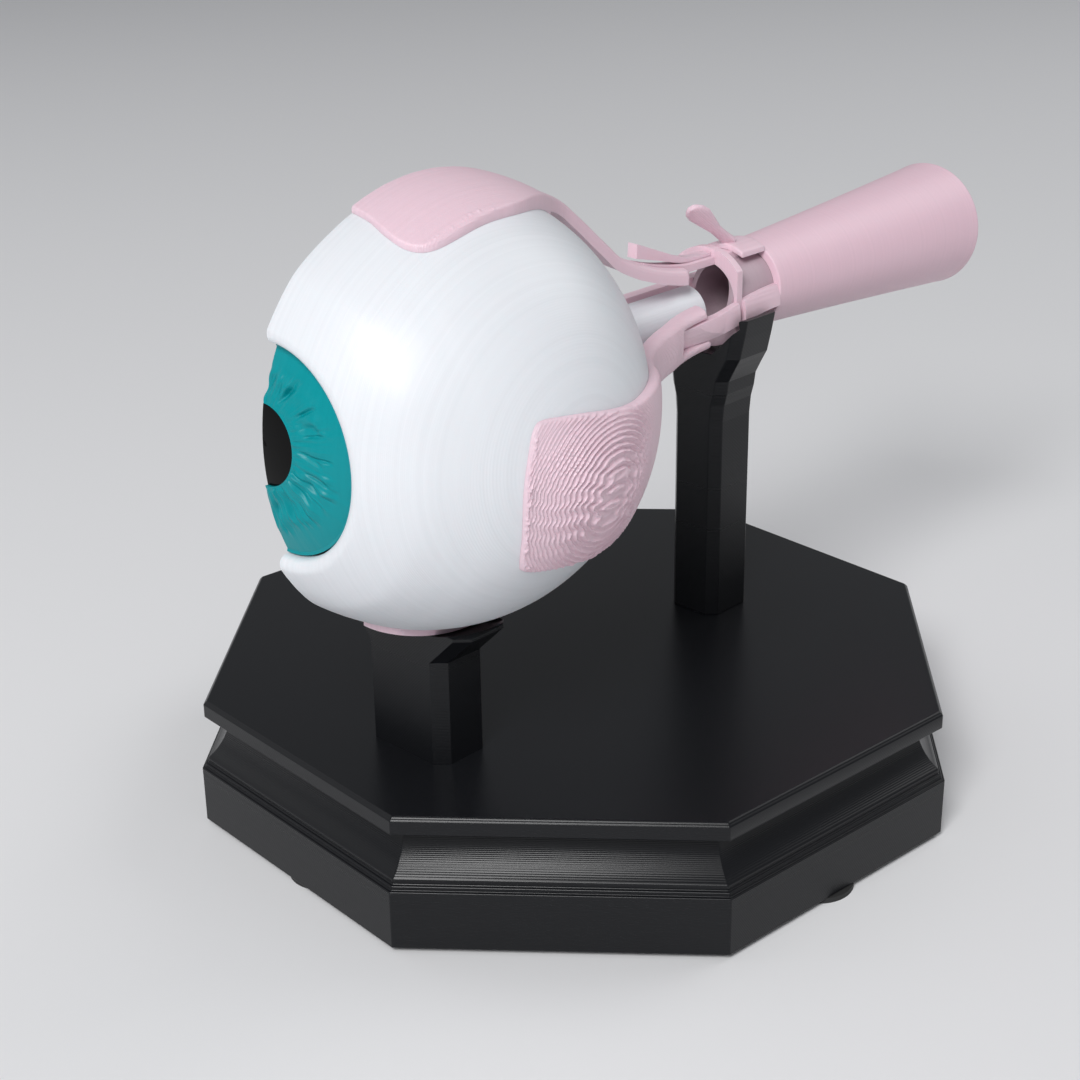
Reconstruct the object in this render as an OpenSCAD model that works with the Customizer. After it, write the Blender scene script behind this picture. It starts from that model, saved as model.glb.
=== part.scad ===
// Section model of a left eye on a two-post display stand.
// The eye is the lateral half, cut on its sagittal plane; the cut face looks to -X.
// Row frame: origin at the middle of the base's underside, +Z up, the eye looks towards -Y.

/* [Base] */
// Across the flats of the base block
base_af = 140; // [130:1:150]
// Across the flats of the top slab
slab_af = 137.7; // [128:0.1:146]
// Turn of the octagon about Z, degrees
base_turn = -4.3; // [-10:0.1:10]
// Height of the feet under the block
foot_h = 1; // [0.8:0.1:1.6]
// Diameter of a foot
foot_d = 14; // [10:0.5:18]
// Distance of a foot's middle from the base's middle
foot_at = 62.6; // [58:0.2:63]
// How much further out the pad on the +X side is stuck
foot_off = 1.4; // [0:0.1:2]
// Top of the straight-sided block
block_top = 12.35; // [11:0.05:13]
// Underside of the top slab
slab_under = 22.97; // [21:0.01:25]
// Thickness of the top slab
slab_t = 3.4; // [3:0.1:5]
// Bevel along the slab's top edge
slab_bevel = 0.7; // [0.3:0.1:1.2]
// Radius of the cove under the slab
cove_r = 11.2; // [10.9:0.1:11.6]
// How far the top of the cove stands in from the block's side
cove_inset = 5.4; // [4.8:0.1:6]

/* [Posts] */
// Sideways offset of the eye, the cone and both posts from the base's middle
axis_x = 8.1; // [6:0.1:10]
// Width of the front post
front_w = 19.7; // [18:0.1:22]
// Depth of both posts along the eye's axis
post_d = 12.2; // [11:0.1:14]
// Corner chamfer of the front post
front_chamfer = 2.3; // [1.5:0.1:3]
// Place of the front post's middle along Y
front_y = -47.4; // [-50:0.1:-45]
// Width of the rear post
rear_w = 11.7; // [11:0.1:14]
// Corner chamfer of the rear post
rear_chamfer = 1.85; // [1:0.05:2.5]
// Place of the rear post's middle along Y
rear_y = 31.8; // [30:0.1:33]
// Distance from the cone's axis to the flats of the fork's eight-sided seat
fork_r = 10.1; // [10.05:0.01:10.3]
// Height of the fork's tips
fork_top = 89.6; // [88:0.1:91]
// Radius of the screws that hold the posts
screw_r = 2; // [1.5:0.1:2.5]
// Radius of the screw heads
screw_head_r = 3.5; // [3:0.1:4]
// Thickness of the screw heads
screw_head_t = 3; // [2:0.1:3.5]
// How far the screws reach into the posts
screw_bite = 8; // [6:0.5:12]

/* [Eye] */
// Place of the globe's middle along Y
eye_y = -45.3; // [-46:0.1:-44]
// Height of the globe's middle
axis_z = 89.5; // [88:0.1:91]
// Outer radius of the globe
globe_r = 38; // [36:0.1:39]
// Thickness of the sclera
sclera_t = 4; // [3:0.1:5]
// Thickness of the choroid
choroid_t = 1.5; // [1:0.1:2]
// Thickness of the retina
retina_t = 1.5; // [1:0.1:2]
// Upward tilt of the opening, iris and lens, degrees
gaze = 1; // [0:0.1:3]
// Radius of the optic nerve
nerve_r = 5; // [4:0.1:5.5]
// Height of the nerve's axis above the globe's middle
nerve_lift = 1.1; // [0:0.1:2]
// Place of the nerve's free end along Y
nerve_end = 23; // [20:0.1:24]

/* [Iris, lens and filling] */
// Radius of the iris
iris_r = 17.4; // [16.5:0.05:17.8]
// Radius of the iris's domed front
iris_dome_r = 40; // [38:0.5:42]
// How far the top of the iris's dome stands proud of the lip's plane
iris_proud = 1.27; // [1:0.01:1.5]
// Thickness of the iris
iris_t = 2.6; // [2.4:0.1:3]
// Depth of the iris's folds and crypts
iris_relief = 1; // [0.3:0.1:1.2]
// Radius of the pupil
pupil_r = 6.75; // [5:0.05:8]
// How far the pupil lies above the middle of the iris
pupil_lift = 1.75; // [0:0.1:2]
// Radius of the lens
lens_r = 11.5; // [10:0.1:12.5]
// How far the lens's middle lies behind the lip's plane
lens_set = 9.1; // [8.8:0.1:9.6]
// Radius of the lens's front face
lens_front_r = 18; // [16:0.5:22]
// Radius of the lens's back face
lens_back_r = 14; // [13:0.5:18]
// Gap round every piece that lifts out
loose_gap = 0.3; // [0.2:0.05:0.5]

/* [Muscles] */
// Thickness of the superior muscle over the globe
sup_t = 1.6; // [1.4:0.1:2]
// How far the superior muscle's outer face is shifted back, which thins its front edge
sup_shift = 1.6; // [0:0.1:1.8]
// Thickness of the lateral and inferior muscles over the globe
side_t = 1.4; // [1.3:0.1:2]
// How far their outer faces are shifted back
side_shift = 0.8; // [0:0.1:1]
// Thickness of a muscle's strap behind the globe
strap_t = 2.3; // [1.8:0.1:2.4]
// Half width of a strap
strap_w = 4.4; // [4:0.1:5]
// Half width of the slot between the two fingers at a strap's end
slot_w = 2.15; // [1.8:0.05:2.4]
// Gap on each side of a tongue in its slot
tongue_gap = 0.1; // [0.05:0.05:0.2]
// Place of the superior strap's fingertips along Y
sup_tip = 19.1; // [17:0.1:20]
// Place of the lateral strap's fingertips along Y
lat_tip = 20.4; // [18:0.1:22]
// Length of the slots
slot_len = 11; // [9:0.5:13]
// Height of the lateral muscle's strap above the globe's middle
lat_lift = -0.3; // [-1:0.1:1]
// Distance of the superior strap's end from the eye's axis
sup_tail = 10.9; // [10.6:0.1:11.1]
// Distance of the lateral strap's end from the eye's axis
lat_tail = 8.8; // [8.6:0.1:9.2]
// Place along Y from which the straps run level
strap_level = 26.7; // [24:0.1:28]

/* [Cone] */
// Height of the cone's axis above the globe's middle
cone_lift = 2.6; // [2:0.1:3]
// Place of the cone's front rim along Y
cone_front = 41; // [40:0.1:43]
// Place of the cone's closed rear end along Y
cone_back = 104.8; // [100:0.1:108]
// Outer radius at the cone's front rim
cone_r0 = 8.7; // [8.5:0.1:9]
// Outer radius at the cone's rear end
cone_r1 = 13; // [11:0.1:14]
// Wall of the cone
cone_wall = 1.6; // [1.4:0.1:2]
// Outer radius of the nerve's sheath
sheath_r = 7; // [6.8:0.05:7.05]
// Wall of the sheath
sheath_t = 1.4; // [1:0.1:1.8]
// Outer radius of the tendon ring
ring_r = 9.8; // [9.6:0.05:9.85]
// Width of the tendon ring
ring_w = 1.6; // [1.2:0.1:2]
// Half width of the ring where its sides are flat
ring_flat = 7.7; // [7.5:0.1:8]
// Place of the tendon ring along Y
ring_y = 29.5; // [28:0.1:31]
// How far the sheath's mouth dips, degrees
mouth_dip = 18.3; // [10:0.1:22]
// How far the sheath's mouth turns to the side, degrees
mouth_turn = 19.3; // [10:0.1:22]
// Place of the mouth's middle along Y
mouth_y = 30.5; // [30:0.1:31.5]
// Reach of the levator's free end along Y
levator_tip = 7.1; // [6:0.1:9]
// Length of the petal
leaf_len = 15.6; // [12:0.1:17]
// Half width of the petal
leaf_w = 2.3; // [1.8:0.1:2.8]
// Upward slope of the petal, degrees
leaf_slope = 36.5; // [30:0.5:45]

/* [Hidden] */
$fn = 96;
eps = 0.05;
far = 400;
slab_top = slab_under + slab_t;
skin_gap = 0.02;
seat_gap = 0.3;
head_seat = foot_h + 1;
pilot = screw_bite + 1;
inner_r = globe_r - sclera_t;
choroid_r = inner_r - skin_gap;
retina_r = choroid_r - choroid_t - skin_gap;
vitreous_r = retina_r - retina_t - loose_gap;
hole_r = iris_r + loose_gap;
lip_s = sqrt(globe_r * globe_r - hole_r * hole_r);
ora_s = lip_s - 17.6;
iris_z = iris_proud - iris_dome_r;
iris_back_r = iris_dome_r - iris_t;
cone_z = axis_z + cone_lift;
drawn_r = 38;
k = globe_r / drawn_r;
sup_r = globe_r + sup_t;
side_r = globe_r + side_t;

// Where a strap leaves the globe's skin, as a share of the globe's radius.
sup_leave = 0.584;
side_leave = 0.853;
// How far the straps have come down from there to their level run: [way back, height left].
sup_fall = [[0, 1], [0.074, 0.929], [0.149, 0.838], [0.215, 0.729], [0.277, 0.62], [0.335, 0.51],
  [0.396, 0.397], [0.458, 0.284], [0.544, 0.192], [0.608, 0.14], [0.723, 0.065], [0.859, 0.011],
  [1, 0], [1.6, 0]];
side_fall = [[0, 1], [0.053, 0.85], [0.116, 0.703], [0.192, 0.564], [0.273, 0.453], [0.369, 0.348],
  [0.462, 0.265], [0.586, 0.147], [0.735, 0.056], [0.912, 0.007], [1, 0], [1.6, 0]];

// ---------- shared helpers ----------

// A smooth curve through the points p, n steps to each span.
function cr(a, b, c, d, t) = 0.5 * ((2 * b) + (c - a) * t + (2 * a - 5 * b + 4 * c - d) * t * t
  + (3 * b - a - 3 * c + d) * t * t * t);
function smooth(p, n = 5) = let (m = len(p) - 1) concat(
  [for (i = [0:m - 1], s = [0:n - 1]) cr(p[max(i - 1, 0)], p[i], p[i + 1], p[min(i + 2, m)], s / n)],
  [p[m]]);
function back(p) = [for (i = [len(p) - 1:-1:0]) p[i]];

// An octagonal plate between two heights.
module octagon(af, z0, z1) {
  rotate([0, 0, base_turn]) translate([0, 0, z0]) intersection() {
    translate([-af / 2, -af / 2, 0]) cube([af, af, z1 - z0]);
    rotate([0, 0, 45]) translate([-af / 2, -af / 2, 0]) cube([af, af, z1 - z0]);
  }
}

// The frame of the eye: origin at the globe's middle.
module in_eye() { translate([axis_x, eye_y, axis_z]) children(); }

// Turns +Z to look out of the opening.
module look() { rotate([90 - gaze, 0, 0]) children(); }

// The frame of the opening: +Z looks out, Z = 0 is the lip's plane.
module opening() { look() translate([0, 0, lip_s]) children(); }

// Children centred on the globe, drawn from inside the opening's frame.
module from_middle() { translate([0, 0, -lip_s]) children(); }

// A solid of revolution whose seam lies on the side that the section cuts away.
module turned() { rotate([0, 0, 180]) rotate_extrude() children(); }

// Keeps the lateral half, on the +X side of the section plane.
module half() {
  intersection() {
    children();
    translate([0, -far / 2, -far / 2]) cube([far, far, far]);
  }
}

// The frame of the cone: +Z runs back along the cone's axis, from Y = 0.
module in_cone() { translate([axis_x, 0, cone_z]) rotate([-90, 0, 0]) children(); }

// A square bar with chamfered corners, standing on z0.
module post_bar(w, d, c, z0, z1) {
  translate([0, 0, z0]) linear_extrude(z1 - z0) polygon([
    [-w / 2 + c, -d / 2], [w / 2 - c, -d / 2], [w / 2, -d / 2 + c], [w / 2, d / 2 - c],
    [w / 2 - c, d / 2], [-w / 2 + c, d / 2], [-w / 2, d / 2 - c], [-w / 2, -d / 2 + c]]);
}

// One level of a chamfered bar: height, half width, half depth and chamfer.
function level(z, w, d, c) = [[-w + c, -d, z], [w - c, -d, z], [w, -d + c, z], [w, d - c, z],
  [w - c, d, z], [-w + c, d, z], [-w, d - c, z], [-w, -d + c, z]];

// A body that runs straight from level to level, each with eight corners.
module loft(levels) {
  m = len(levels);
  polyhedron([for (l = levels) each l], concat(
    [[for (i = [0:7]) i]], [[for (i = [7:-1:0]) 8 * (m - 1) + i]],
    [for (j = [0:m - 2], i = [0:7]) let (a = 8 * j + i, b = 8 * j + (i + 1) % 8) [a, a + 8, b]],
    [for (j = [0:m - 2], i = [0:7]) let (a = 8 * j + i, b = 8 * j + (i + 1) % 8) [b, a + 8, b + 8]]));
}

// ---------- stand ----------

// Printed octagonal block with a cove, two fine steps and countersunk ways for the screws.
module base_plinth() {
  step_a = 0.6;
  step_h = 0.85;
  color([0.03, 0.03, 0.035]) difference() {
    union() {
      octagon(base_af, foot_h, block_top);
      octagon(base_af - 2 * step_a, block_top - eps, block_top + step_h);
      octagon(base_af - 4 * step_a, block_top, slab_under);
    }
    difference() {
      for (i = [0:7]) rotate([0, 0, base_turn + 45 * i])
        translate([base_af / 2 - cove_inset + cove_r, 0, slab_under]) rotate([90, 0, 0])
          cylinder(r = cove_r, h = base_af, center = true);
      octagon(base_af - 4 * step_a, 0, block_top + 2 * step_h);
    }
    screw_ways();
  }
}

// The ways of the two post screws through the base.
module screw_ways() {
  for (y = [front_y, rear_y]) translate([axis_x, y, 0]) {
    cylinder(r = screw_r + eps, h = far, $fn = 32);
    cylinder(r = screw_head_r + seat_gap, h = head_seat + screw_head_t, $fn = 32);
  }
}

// Top slab with a bevelled top edge.
module base_top() {
  color([0.03, 0.03, 0.035]) difference() {
    octagon(slab_af, slab_under, slab_top);
    for (i = [0:7]) rotate([0, 0, base_turn + 45 * i])
      translate([slab_af / 2 - slab_bevel, -base_af / 2, slab_top]) rotate([0, 45, 0])
        cube([base_af / 4, base_af, base_af / 4]);
    screw_ways();
  }
}

// Round pads under the block: one in the middle and four near its edge.
module base_feet() {
  color([0.05, 0.05, 0.05]) {
    cylinder(r = foot_d / 2, h = foot_h, $fn = 48);
    for (i = [0:3]) rotate([0, 0, base_turn + 90 * i])
      translate([foot_at + (i == 0 ? foot_off : 0), 0, 0]) cylinder(r = foot_d / 2, h = foot_h, $fn = 48);
  }
}

// Front post with its flared cradle, scooped to the globe.
module front_post() {
  neck = 38;
  flare = 46.3;
  horn = 15.9;
  horn_top = 52.8;
  color([0.03, 0.03, 0.035]) translate([axis_x, 0, 0]) difference() {
    union() {
      translate([0, front_y, 0]) post_bar(front_w, post_d, front_chamfer, slab_top, neck);
      translate([0, front_y, 0]) loft([level(neck - eps, front_w / 2, post_d / 2, front_chamfer),
        level(flare, front_w / 2, post_d / 2, front_chamfer),
        level(horn_top - 0.5, horn, post_d / 2, front_chamfer),
        level(horn_top, horn, post_d / 2, front_chamfer)]);
    }
    translate([0, eye_y + side_shift, axis_z]) sphere(r = side_r + seat_gap);
    translate([0, front_y, slab_top - eps]) cylinder(r = screw_r - eps, h = pilot + eps, $fn = 32);
  }
}

// Rear post with a fork of flat faces that holds the tendon ring.
module rear_post() {
  neck = 68;
  color([0.03, 0.03, 0.035]) translate([axis_x, rear_y, 0]) difference() {
    union() {
      post_bar(rear_w, post_d, rear_chamfer, slab_top, neck);
      loft([for (q = [[neck - eps, 0], [71.5, 0.3], [74, 0.95], [76.6, 1.3], [79, 2.5], [81.6, 3.9],
        [85.9, 4.85], [fork_top, 5.55]]) level(q[0], rear_w / 2 + q[1], post_d / 2, rear_chamfer)]);
    }
    translate([0, 0, cone_z]) rotate([90, 22.5, 0])
      cylinder(r = fork_r / cos(22.5), h = far, center = true, $fn = 8);
    translate([0, 0, slab_top - eps]) cylinder(r = screw_r - eps, h = pilot + eps, $fn = 32);
  }
}

// Pan-head screws that come up through the base into the posts.
module post_screws() {
  key_r = 1.5;
  color([0.6, 0.6, 0.62]) for (y = [front_y, rear_y]) translate([axis_x, y, head_seat])
    difference() {
      union() {
        cylinder(r = screw_head_r, h = screw_head_t, $fn = 32);
        cylinder(r = screw_r - 2 * eps, h = slab_top + screw_bite - head_seat, $fn = 32);
      }
      translate([0, 0, -1]) cylinder(r = key_r, h = 2.5, $fn = 6);
    }
}

// ---------- eye ----------

// Ways for the nerve through the coats of the eye.
module nerve_way(r) {
  translate([0, 10, nerve_lift]) rotate([-90, 0, 0]) cylinder(r = r, h = far, $fn = 64);
}

// Front line of the white shell, from the opening's edge outwards:
// [beyond the opening, above the lip's plane].
lip_line = smooth([[0, -2.75], [0.08, -2.1], [0.4, -1.5], [0.95, -1.15], [1.6, -1.05], [2.3, -1.16],
  [3.2, -1.66], [4.7, -2.65], [7.5, -4.72], [10.4, -7.4], [13.35, -11.5], [15.8, -15.7]], 4);

// Points of a circle of radius r from the angle a to the angle b, n steps.
function arc(r, a, b, n) = [for (i = [0:n]) let (t = a + (b - a) * i / n) [max(r * cos(t), 0), r * sin(t)]];

// The white shell; its front runs smoothly into a rounded lip round the opening.
module sclera() {
  line = [for (q = lip_line) [hole_r + q[0], lip_s + q[1]]];
  start = asin(line[len(line) - 1][1] / globe_r);
  color([0.93, 0.95, 0.97]) in_eye() half() difference() {
    look() turned() polygon(concat(arc(globe_r, -90, start - 1.5, 40), back(line),
      arc(inner_r, acos(hole_r / inner_r), -90, 50)));
    nerve_way(nerve_r + eps);
  }
}

// One inner coat of the eye, from the nerve forward to the plane at fwd.
module coat(r0, t, fwd) {
  difference() {
    look() turned() intersection() {
      difference() {
        circle(r = r0);
        circle(r = r0 - t);
      }
      translate([0, -r0 - 1]) square([r0 + 1, r0 + 1 + fwd]);
    }
    nerve_way(nerve_r + eps);
  }
}

module choroid() { color([0.72, 0.25, 0.22]) in_eye() half() coat(choroid_r, choroid_t, ora_s); }

module retina() { color([0.93, 0.72, 0.45]) in_eye() half() coat(retina_r, retina_t, ora_s); }

// Ring between the retina and the iris; the iris rests on its front.
module ciliary_body() {
  back_z = ora_s - lip_s + skin_gap;
  color([0.6, 0.3, 0.25]) in_eye() half() opening() intersection() {
    from_middle() sphere(r = inner_r - skin_gap);
    translate([0, 0, iris_z]) sphere(r = iris_back_r - skin_gap);
    rotate_extrude() polygon(concat([[globe_r, back_z], [globe_r, -1.6], [15, -1.6]],
      smooth([[14.8, -6.1], [14.3, -8], [15, -10], [17.5, -12.4], [22, -15], [globe_r - 8.5, back_z]], 4)));
  }
}

// Optic nerve with its cupped disc inside the eye.
module optic_nerve() {
  in_end = retina_r - retina_t - 1;
  cup_r = 2.6;
  color([0.93, 0.93, 0.95]) in_eye() half() translate([0, 0, nerve_lift]) rotate([-90, 0, 0])
    difference() {
      translate([0, 0, in_end]) cylinder(r = nerve_r, h = nerve_end - eye_y - in_end, $fn = 64);
      translate([0, 0, in_end - 1.5]) sphere(r = cup_r, $fn = 32);
    }
}

// ---------- muscles ----------

// Outer line of a muscle's tail: [distance behind the globe's middle, distance from the eye's axis].
// It leaves a skin of radius r, shifted back by s, at y0 and ends at the distance r1 from the axis.
function tail(r, s, r1, y0, fall) = let (y1 = strap_level - eye_y, r0 = sqrt(r * r - pow(y0 - s, 2)))
  smooth([for (q = fall) [y0 + (y1 - y0) * q[0], r1 + (r0 - r1) * q[1]]], 4);

// The line p moved inwards by t, square to itself.
function inner(p, t) = [for (i = [0:len(p) - 1]) let (a = p[max(i - 1, 0)], b = p[min(i + 1, len(p) - 1)],
  d = norm(b - a)) p[i] + t * [(b[1] - a[1]) / d, -(b[0] - a[0]) / d]];

// A muscle's skin over the globe and its tail, all the way round the eye's axis, back to y1.
module muscle_skin(r, s, r1, leave, fall, y1) {
  start = leave * globe_r;
  line = tail(r, s, r1, start, fall);
  under = inner(line, strap_t);
  rotate([-90, 0, 0]) turned() intersection() {
    difference() {
      union() {
        difference() {
          translate([0, s]) circle(r = r);
          translate([-far / 2, start + eps]) square([far, far]);
        }
        polygon(concat([for (q = line) [q[1], q[0]]], back([for (q = under) [max(q[1], 1), q[0]]])));
      }
      circle(r = globe_r + skin_gap);
    }
    translate([0, y1 - far]) square([globe_r + 5, far]);
  }
}

module superior_skin(y1) { muscle_skin(sup_r, sup_shift, sup_tail, sup_leave, sup_fall, y1); }

module side_skin(y1) { muscle_skin(side_r, side_shift, lat_tail, side_leave, side_fall, y1); }

// Outline of the superior muscle from above, with the slot between its fingers.
module superior_plan(tip) {
  over_globe = [[0, -13.9], [5, -14.6], [9.3, -15.4], [13.5, -15.2], [16.2, -13.2], [17.3, -9.3],
    [17.1, -2.6], [15.7, 7.7], [11, 18], [6.8, 25], [5, 30]];
  difference() {
    polygon(concat([[-strap_w, tip], [-strap_w, k * 16], [-strap_w - 3, 0], [-strap_w - 3, -14 * k]],
      smooth(concat([for (q = over_globe) k * q], [[strap_w, k * 36]]), 4), [[strap_w, tip]]));
    translate([-slot_w, tip - slot_len]) square([2 * slot_w, slot_len + 1]);
    translate([0, tip - slot_len]) circle(r = slot_w, $fn = 32);
  }
}

module superior_rectus() {
  tip = sup_tip - eye_y;
  color([0.85, 0.7, 0.76]) in_eye() half() intersection() {
    superior_skin(tip);
    translate([0, 0, sup_tail / 2]) linear_extrude(globe_r + 5) superior_plan(tip);
  }
}

// Outline of the lateral muscle seen from +X: [distance behind the middle, height].
module lateral_plan(tip) {
  lower = [[-7.6, 8.3], [-9.6, 8.1], [-10.7, 6.9], [-11.6, 4.6], [-12.6, 0], [-12.8, -5], [-11.9, -12],
    [-11, -16], [-9.6, -17.8], [-3.9, -18.9], [4, -20.4], [11.2, -20.8], [20, -17], [26.5, -10.5],
    [31.4, -6]];
  upper = [[32.4, 4.4], [28.6, 5.2], [22, 5.5], [11, 5.7], [-0.9, 7.6], [-7.6, 8.3]];
  difference() {
    polygon(concat(
      smooth(concat([for (q = lower) k * q], [[k * 36, lat_lift - strap_w]]), 4),
      [[tip, lat_lift - strap_w], [tip, lat_lift + strap_w]],
      smooth(concat([[k * 38, lat_lift + strap_w]], [for (q = upper) k * q]), 4)));
    translate([tip - slot_len, lat_lift - slot_w]) square([slot_len + 1, 2 * slot_w]);
    translate([tip - slot_len, lat_lift]) circle(r = slot_w, $fn = 32);
  }
}

module lateral_rectus() {
  tip = lat_tip - eye_y;
  color([0.8, 0.66, 0.72]) in_eye() intersection() {
    side_skin(tip);
    translate([lat_tail * 0.6, 0, 0]) rotate([90, 0, 90]) linear_extrude(globe_r + 5) lateral_plan(tip);
  }
}

// Short muscle under the globe, resting in the front post's cradle.
module inferior_rectus() {
  outline = [[0, -16], [4.5, -16.2], [7.6, -15], [8.6, -11], [9.6, -3], [9, 6], [6.4, 13], [3.6, 17],
    [0, 18]];
  color([0.8, 0.66, 0.72]) in_eye() half() intersection() {
    rotate([-90, 0, 0]) turned() difference() {
      translate([0, side_shift]) circle(r = side_r);
      circle(r = globe_r + skin_gap);
      translate([-far, -far / 2]) square([far, far]);
    }
    translate([0, 0, -globe_r - 5]) linear_extrude(globe_r / 2) polygon(concat(
      smooth([for (q = outline) k * q], 4), [[-5, 18 * k], [-5, -16 * k]]));
  }
}

// ---------- iris unit ----------

// Gentle rise from 0 at a to 1 at b.
function ease(a, b, x) = let (t = min(max((x - a) / (b - a), 0), 1)) t * t * (3 - 2 * t);

// Height of the iris's relief at w, from 0 at the pupil to 1 at the rim, and the angle a.
function folds(w, a) = let (
  q = w + 0.05 * sin(5 * a + 40) + 0.03 * sin(11 * a + 70),
  calm = 1 - 0.93 * ease(0.56, 0.76, q),
  edge = ease(0, 0.07, w) * ease(1, 0.95, w),
  radial = 0.3 * sin(33 * a + 50 * sin(4 * a) + 120 * w) + 0.16 * sin(58 * a + 60 * sin(3 * a) - 200 * w),
  rings = 0.26 * sin(900 * q + 40 * sin(8 * a)),
  pit = pow(max(0, sin(12 * a + 60 * sin(5 * a) + 200 * w)), 3) * ease(0.14, 0.3, q) * ease(0.62, 0.45, q))
  iris_relief * edge * (calm * (radial + rings - 0.85 * pit) - 0.1 - 0.25 * ease(0.5, 0.75, q));

// A point of the iris at w and a.
function iris_at(w, a) = [((1 - w) * (pupil_r + skin_gap) + w * iris_r) * cos(a),
  (1 - w) * (pupil_lift + (pupil_r + skin_gap) * sin(a)) + w * iris_r * sin(a)];
function dome(r, p) = iris_z + sqrt(r * r - p * p);

// Half disc with a domed front of radial folds, rings and crypts, calm towards the rim.
module iris() {
  na = 72;
  nw = 18;
  row = nw + 1;
  all_at = (na + 1) * row;
  grid = [for (i = [0:na], j = [0:nw]) [j / nw, -90 + 180 * i / na]];
  front = [for (g = grid) let (p = iris_at(g[0], g[1]))
    [p[0], p[1], dome(iris_dome_r, p) + folds(g[0], g[1])]];
  rear = [for (g = grid) let (p = iris_at(g[0], g[1])) [p[0], p[1], dome(iris_back_r, p)]];
  color([0, 0.58, 0.62]) in_eye() opening() polyhedron(concat(front, rear), concat(
    [for (i = [0:na - 1], j = [0:nw - 1]) let (a = i * row + j) [a, a + row, a + 1]],
    [for (i = [0:na - 1], j = [0:nw - 1]) let (a = i * row + j) [a + 1, a + row, a + row + 1]],
    [for (i = [0:na - 1], j = [0:nw - 1]) let (a = all_at + i * row + j) [a, a + 1, a + row]],
    [for (i = [0:na - 1], j = [0:nw - 1]) let (a = all_at + i * row + j) [a + 1, a + row + 1, a + row]],
    [for (i = [0:na - 1], e = [0, 1]) let (a = i * row, b = a + all_at)
      e == 0 ? [a, b, a + row] : [b, b + row, a + row]],
    [for (i = [0:na - 1], e = [0, 1]) let (a = i * row + nw, b = a + all_at)
      e == 0 ? [a, a + row, b] : [b, a + row, b + row]],
    [for (j = [0:nw - 1], e = [0, 1]) let (b = j + all_at)
      e == 0 ? [j, j + 1, b] : [b, j + 1, b + 1]],
    [for (j = [0:nw - 1], e = [0, 1]) let (a = na * row + j, b = a + all_at)
      e == 0 ? [a, b, a + 1] : [b, b + 1, a + 1]]));
}

// Black plug with a domed front, held by a flange behind the iris.
module pupil() {
  crown_r = 42;
  crown = 0.95;
  flange = iris_proud - iris_t - 0.8;
  flange_w = 1.6;
  color([0.01, 0.01, 0.012]) in_eye() half() opening() {
    translate([0, pupil_lift, 0]) intersection() {
      translate([0, 0, flange]) cylinder(r = pupil_r, h = far, $fn = 64);
      translate([0, 0, crown - crown_r]) sphere(r = crown_r);
    }
    intersection() {
      translate([0, pupil_lift, flange - 1]) cylinder(r = pupil_r + flange_w, h = far, $fn = 64);
      translate([0, 0, iris_z]) sphere(r = iris_back_r - skin_gap);
    }
  }
}

// ---------- lens and filling ----------

// Biconvex body of the lens, grown by g on every side.
module lens_body(g) {
  front = sqrt(pow(lens_front_r, 2) - pow(lens_r, 2));
  rear = sqrt(pow(lens_back_r, 2) - pow(lens_r, 2));
  translate([0, 0, -lens_set]) intersection() {
    translate([0, 0, 0.5 - front]) sphere(r = lens_front_r + g);
    translate([0, 0, rear - 0.5]) sphere(r = lens_back_r + g);
    translate([0, 0, -15]) cylinder(r = lens_r - 0.2 + g, h = 30);
  }
}

// Half of a biconvex lens, cut on the section plane.
module lens() { color([0.92, 0.93, 0.9]) in_eye() half() opening() lens_body(0); }

// Clear filling behind the lens, cupped to hold it.
module vitreous_body() {
  boss_r = lens_r + 0.9;
  front_z = ora_s - lip_s - loose_gap;
  color([0.75, 0.85, 0.9]) in_eye() half() difference() {
    union() {
      look() intersection() {
        sphere(r = vitreous_r);
        translate([0, 0, ora_s - loose_gap - far]) cylinder(r = far, h = far);
      }
      opening() rotate_extrude() polygon([[0, front_z - 2], [boss_r + 4, front_z - 2], [boss_r + 4, front_z],
        [boss_r, front_z + 3.3], [boss_r, -lens_set - 0.6], [0, -lens_set - 0.6]]);
    }
    opening() lens_body(loose_gap);
    translate([0, vitreous_r - 4, nerve_lift]) rotate([-90, 0, 0])
      cylinder(r = nerve_r + 1, h = far, $fn = 64);
  }
}

// ---------- cone unit ----------

// Flattened ring round the sheath; it sits in the rear post's fork.
module tendon_ring() {
  color([0.9, 0.76, 0.82]) in_cone() translate([0, 0, ring_y - ring_w / 2]) difference() {
    intersection() {
      cylinder(r = ring_r, h = ring_w);
      translate([-ring_flat, -far / 2, 0]) cube([2 * ring_flat, far, ring_w]);
    }
    translate([0, 0, -1]) cylinder(r = sheath_r + skin_gap, h = ring_w + 2);
  }
}

// Open tube with a slanting mouth, standing out of the cone.
module nerve_sheath() {
  color([0.75, 0.66, 0.7]) difference() {
    in_cone() difference() {
      translate([0, 0, 22]) cylinder(r = sheath_r, h = cone_front + 9 - 22);
      cylinder(r = sheath_r - sheath_t, h = far);
    }
    translate([axis_x, mouth_y, cone_z]) rotate([-mouth_dip, 0, -mouth_turn]) translate([-20, -60, -20])
      cube([40, 60, 40]);
  }
}

// Long flared tube, closed at its square rear end.
module muscle_cone() {
  n = 12;
  len_c = cone_back - cone_front;
  flare = [for (i = [0:n]) [cone_r0 + (cone_r1 - cone_r0) * pow(i / n, 1.12), cone_front + len_c * i / n]];
  bore = [for (i = [0:n - 1]) [flare[i][0] - cone_wall, flare[i][1]]];
  color([0.85, 0.7, 0.76]) in_cone() rotate_extrude()
    polygon(concat(flare, [[0, cone_back], [0, cone_back - cone_wall]],
      [[bore[n - 1][0], cone_back - cone_wall]], back(bore)));
}

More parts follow.
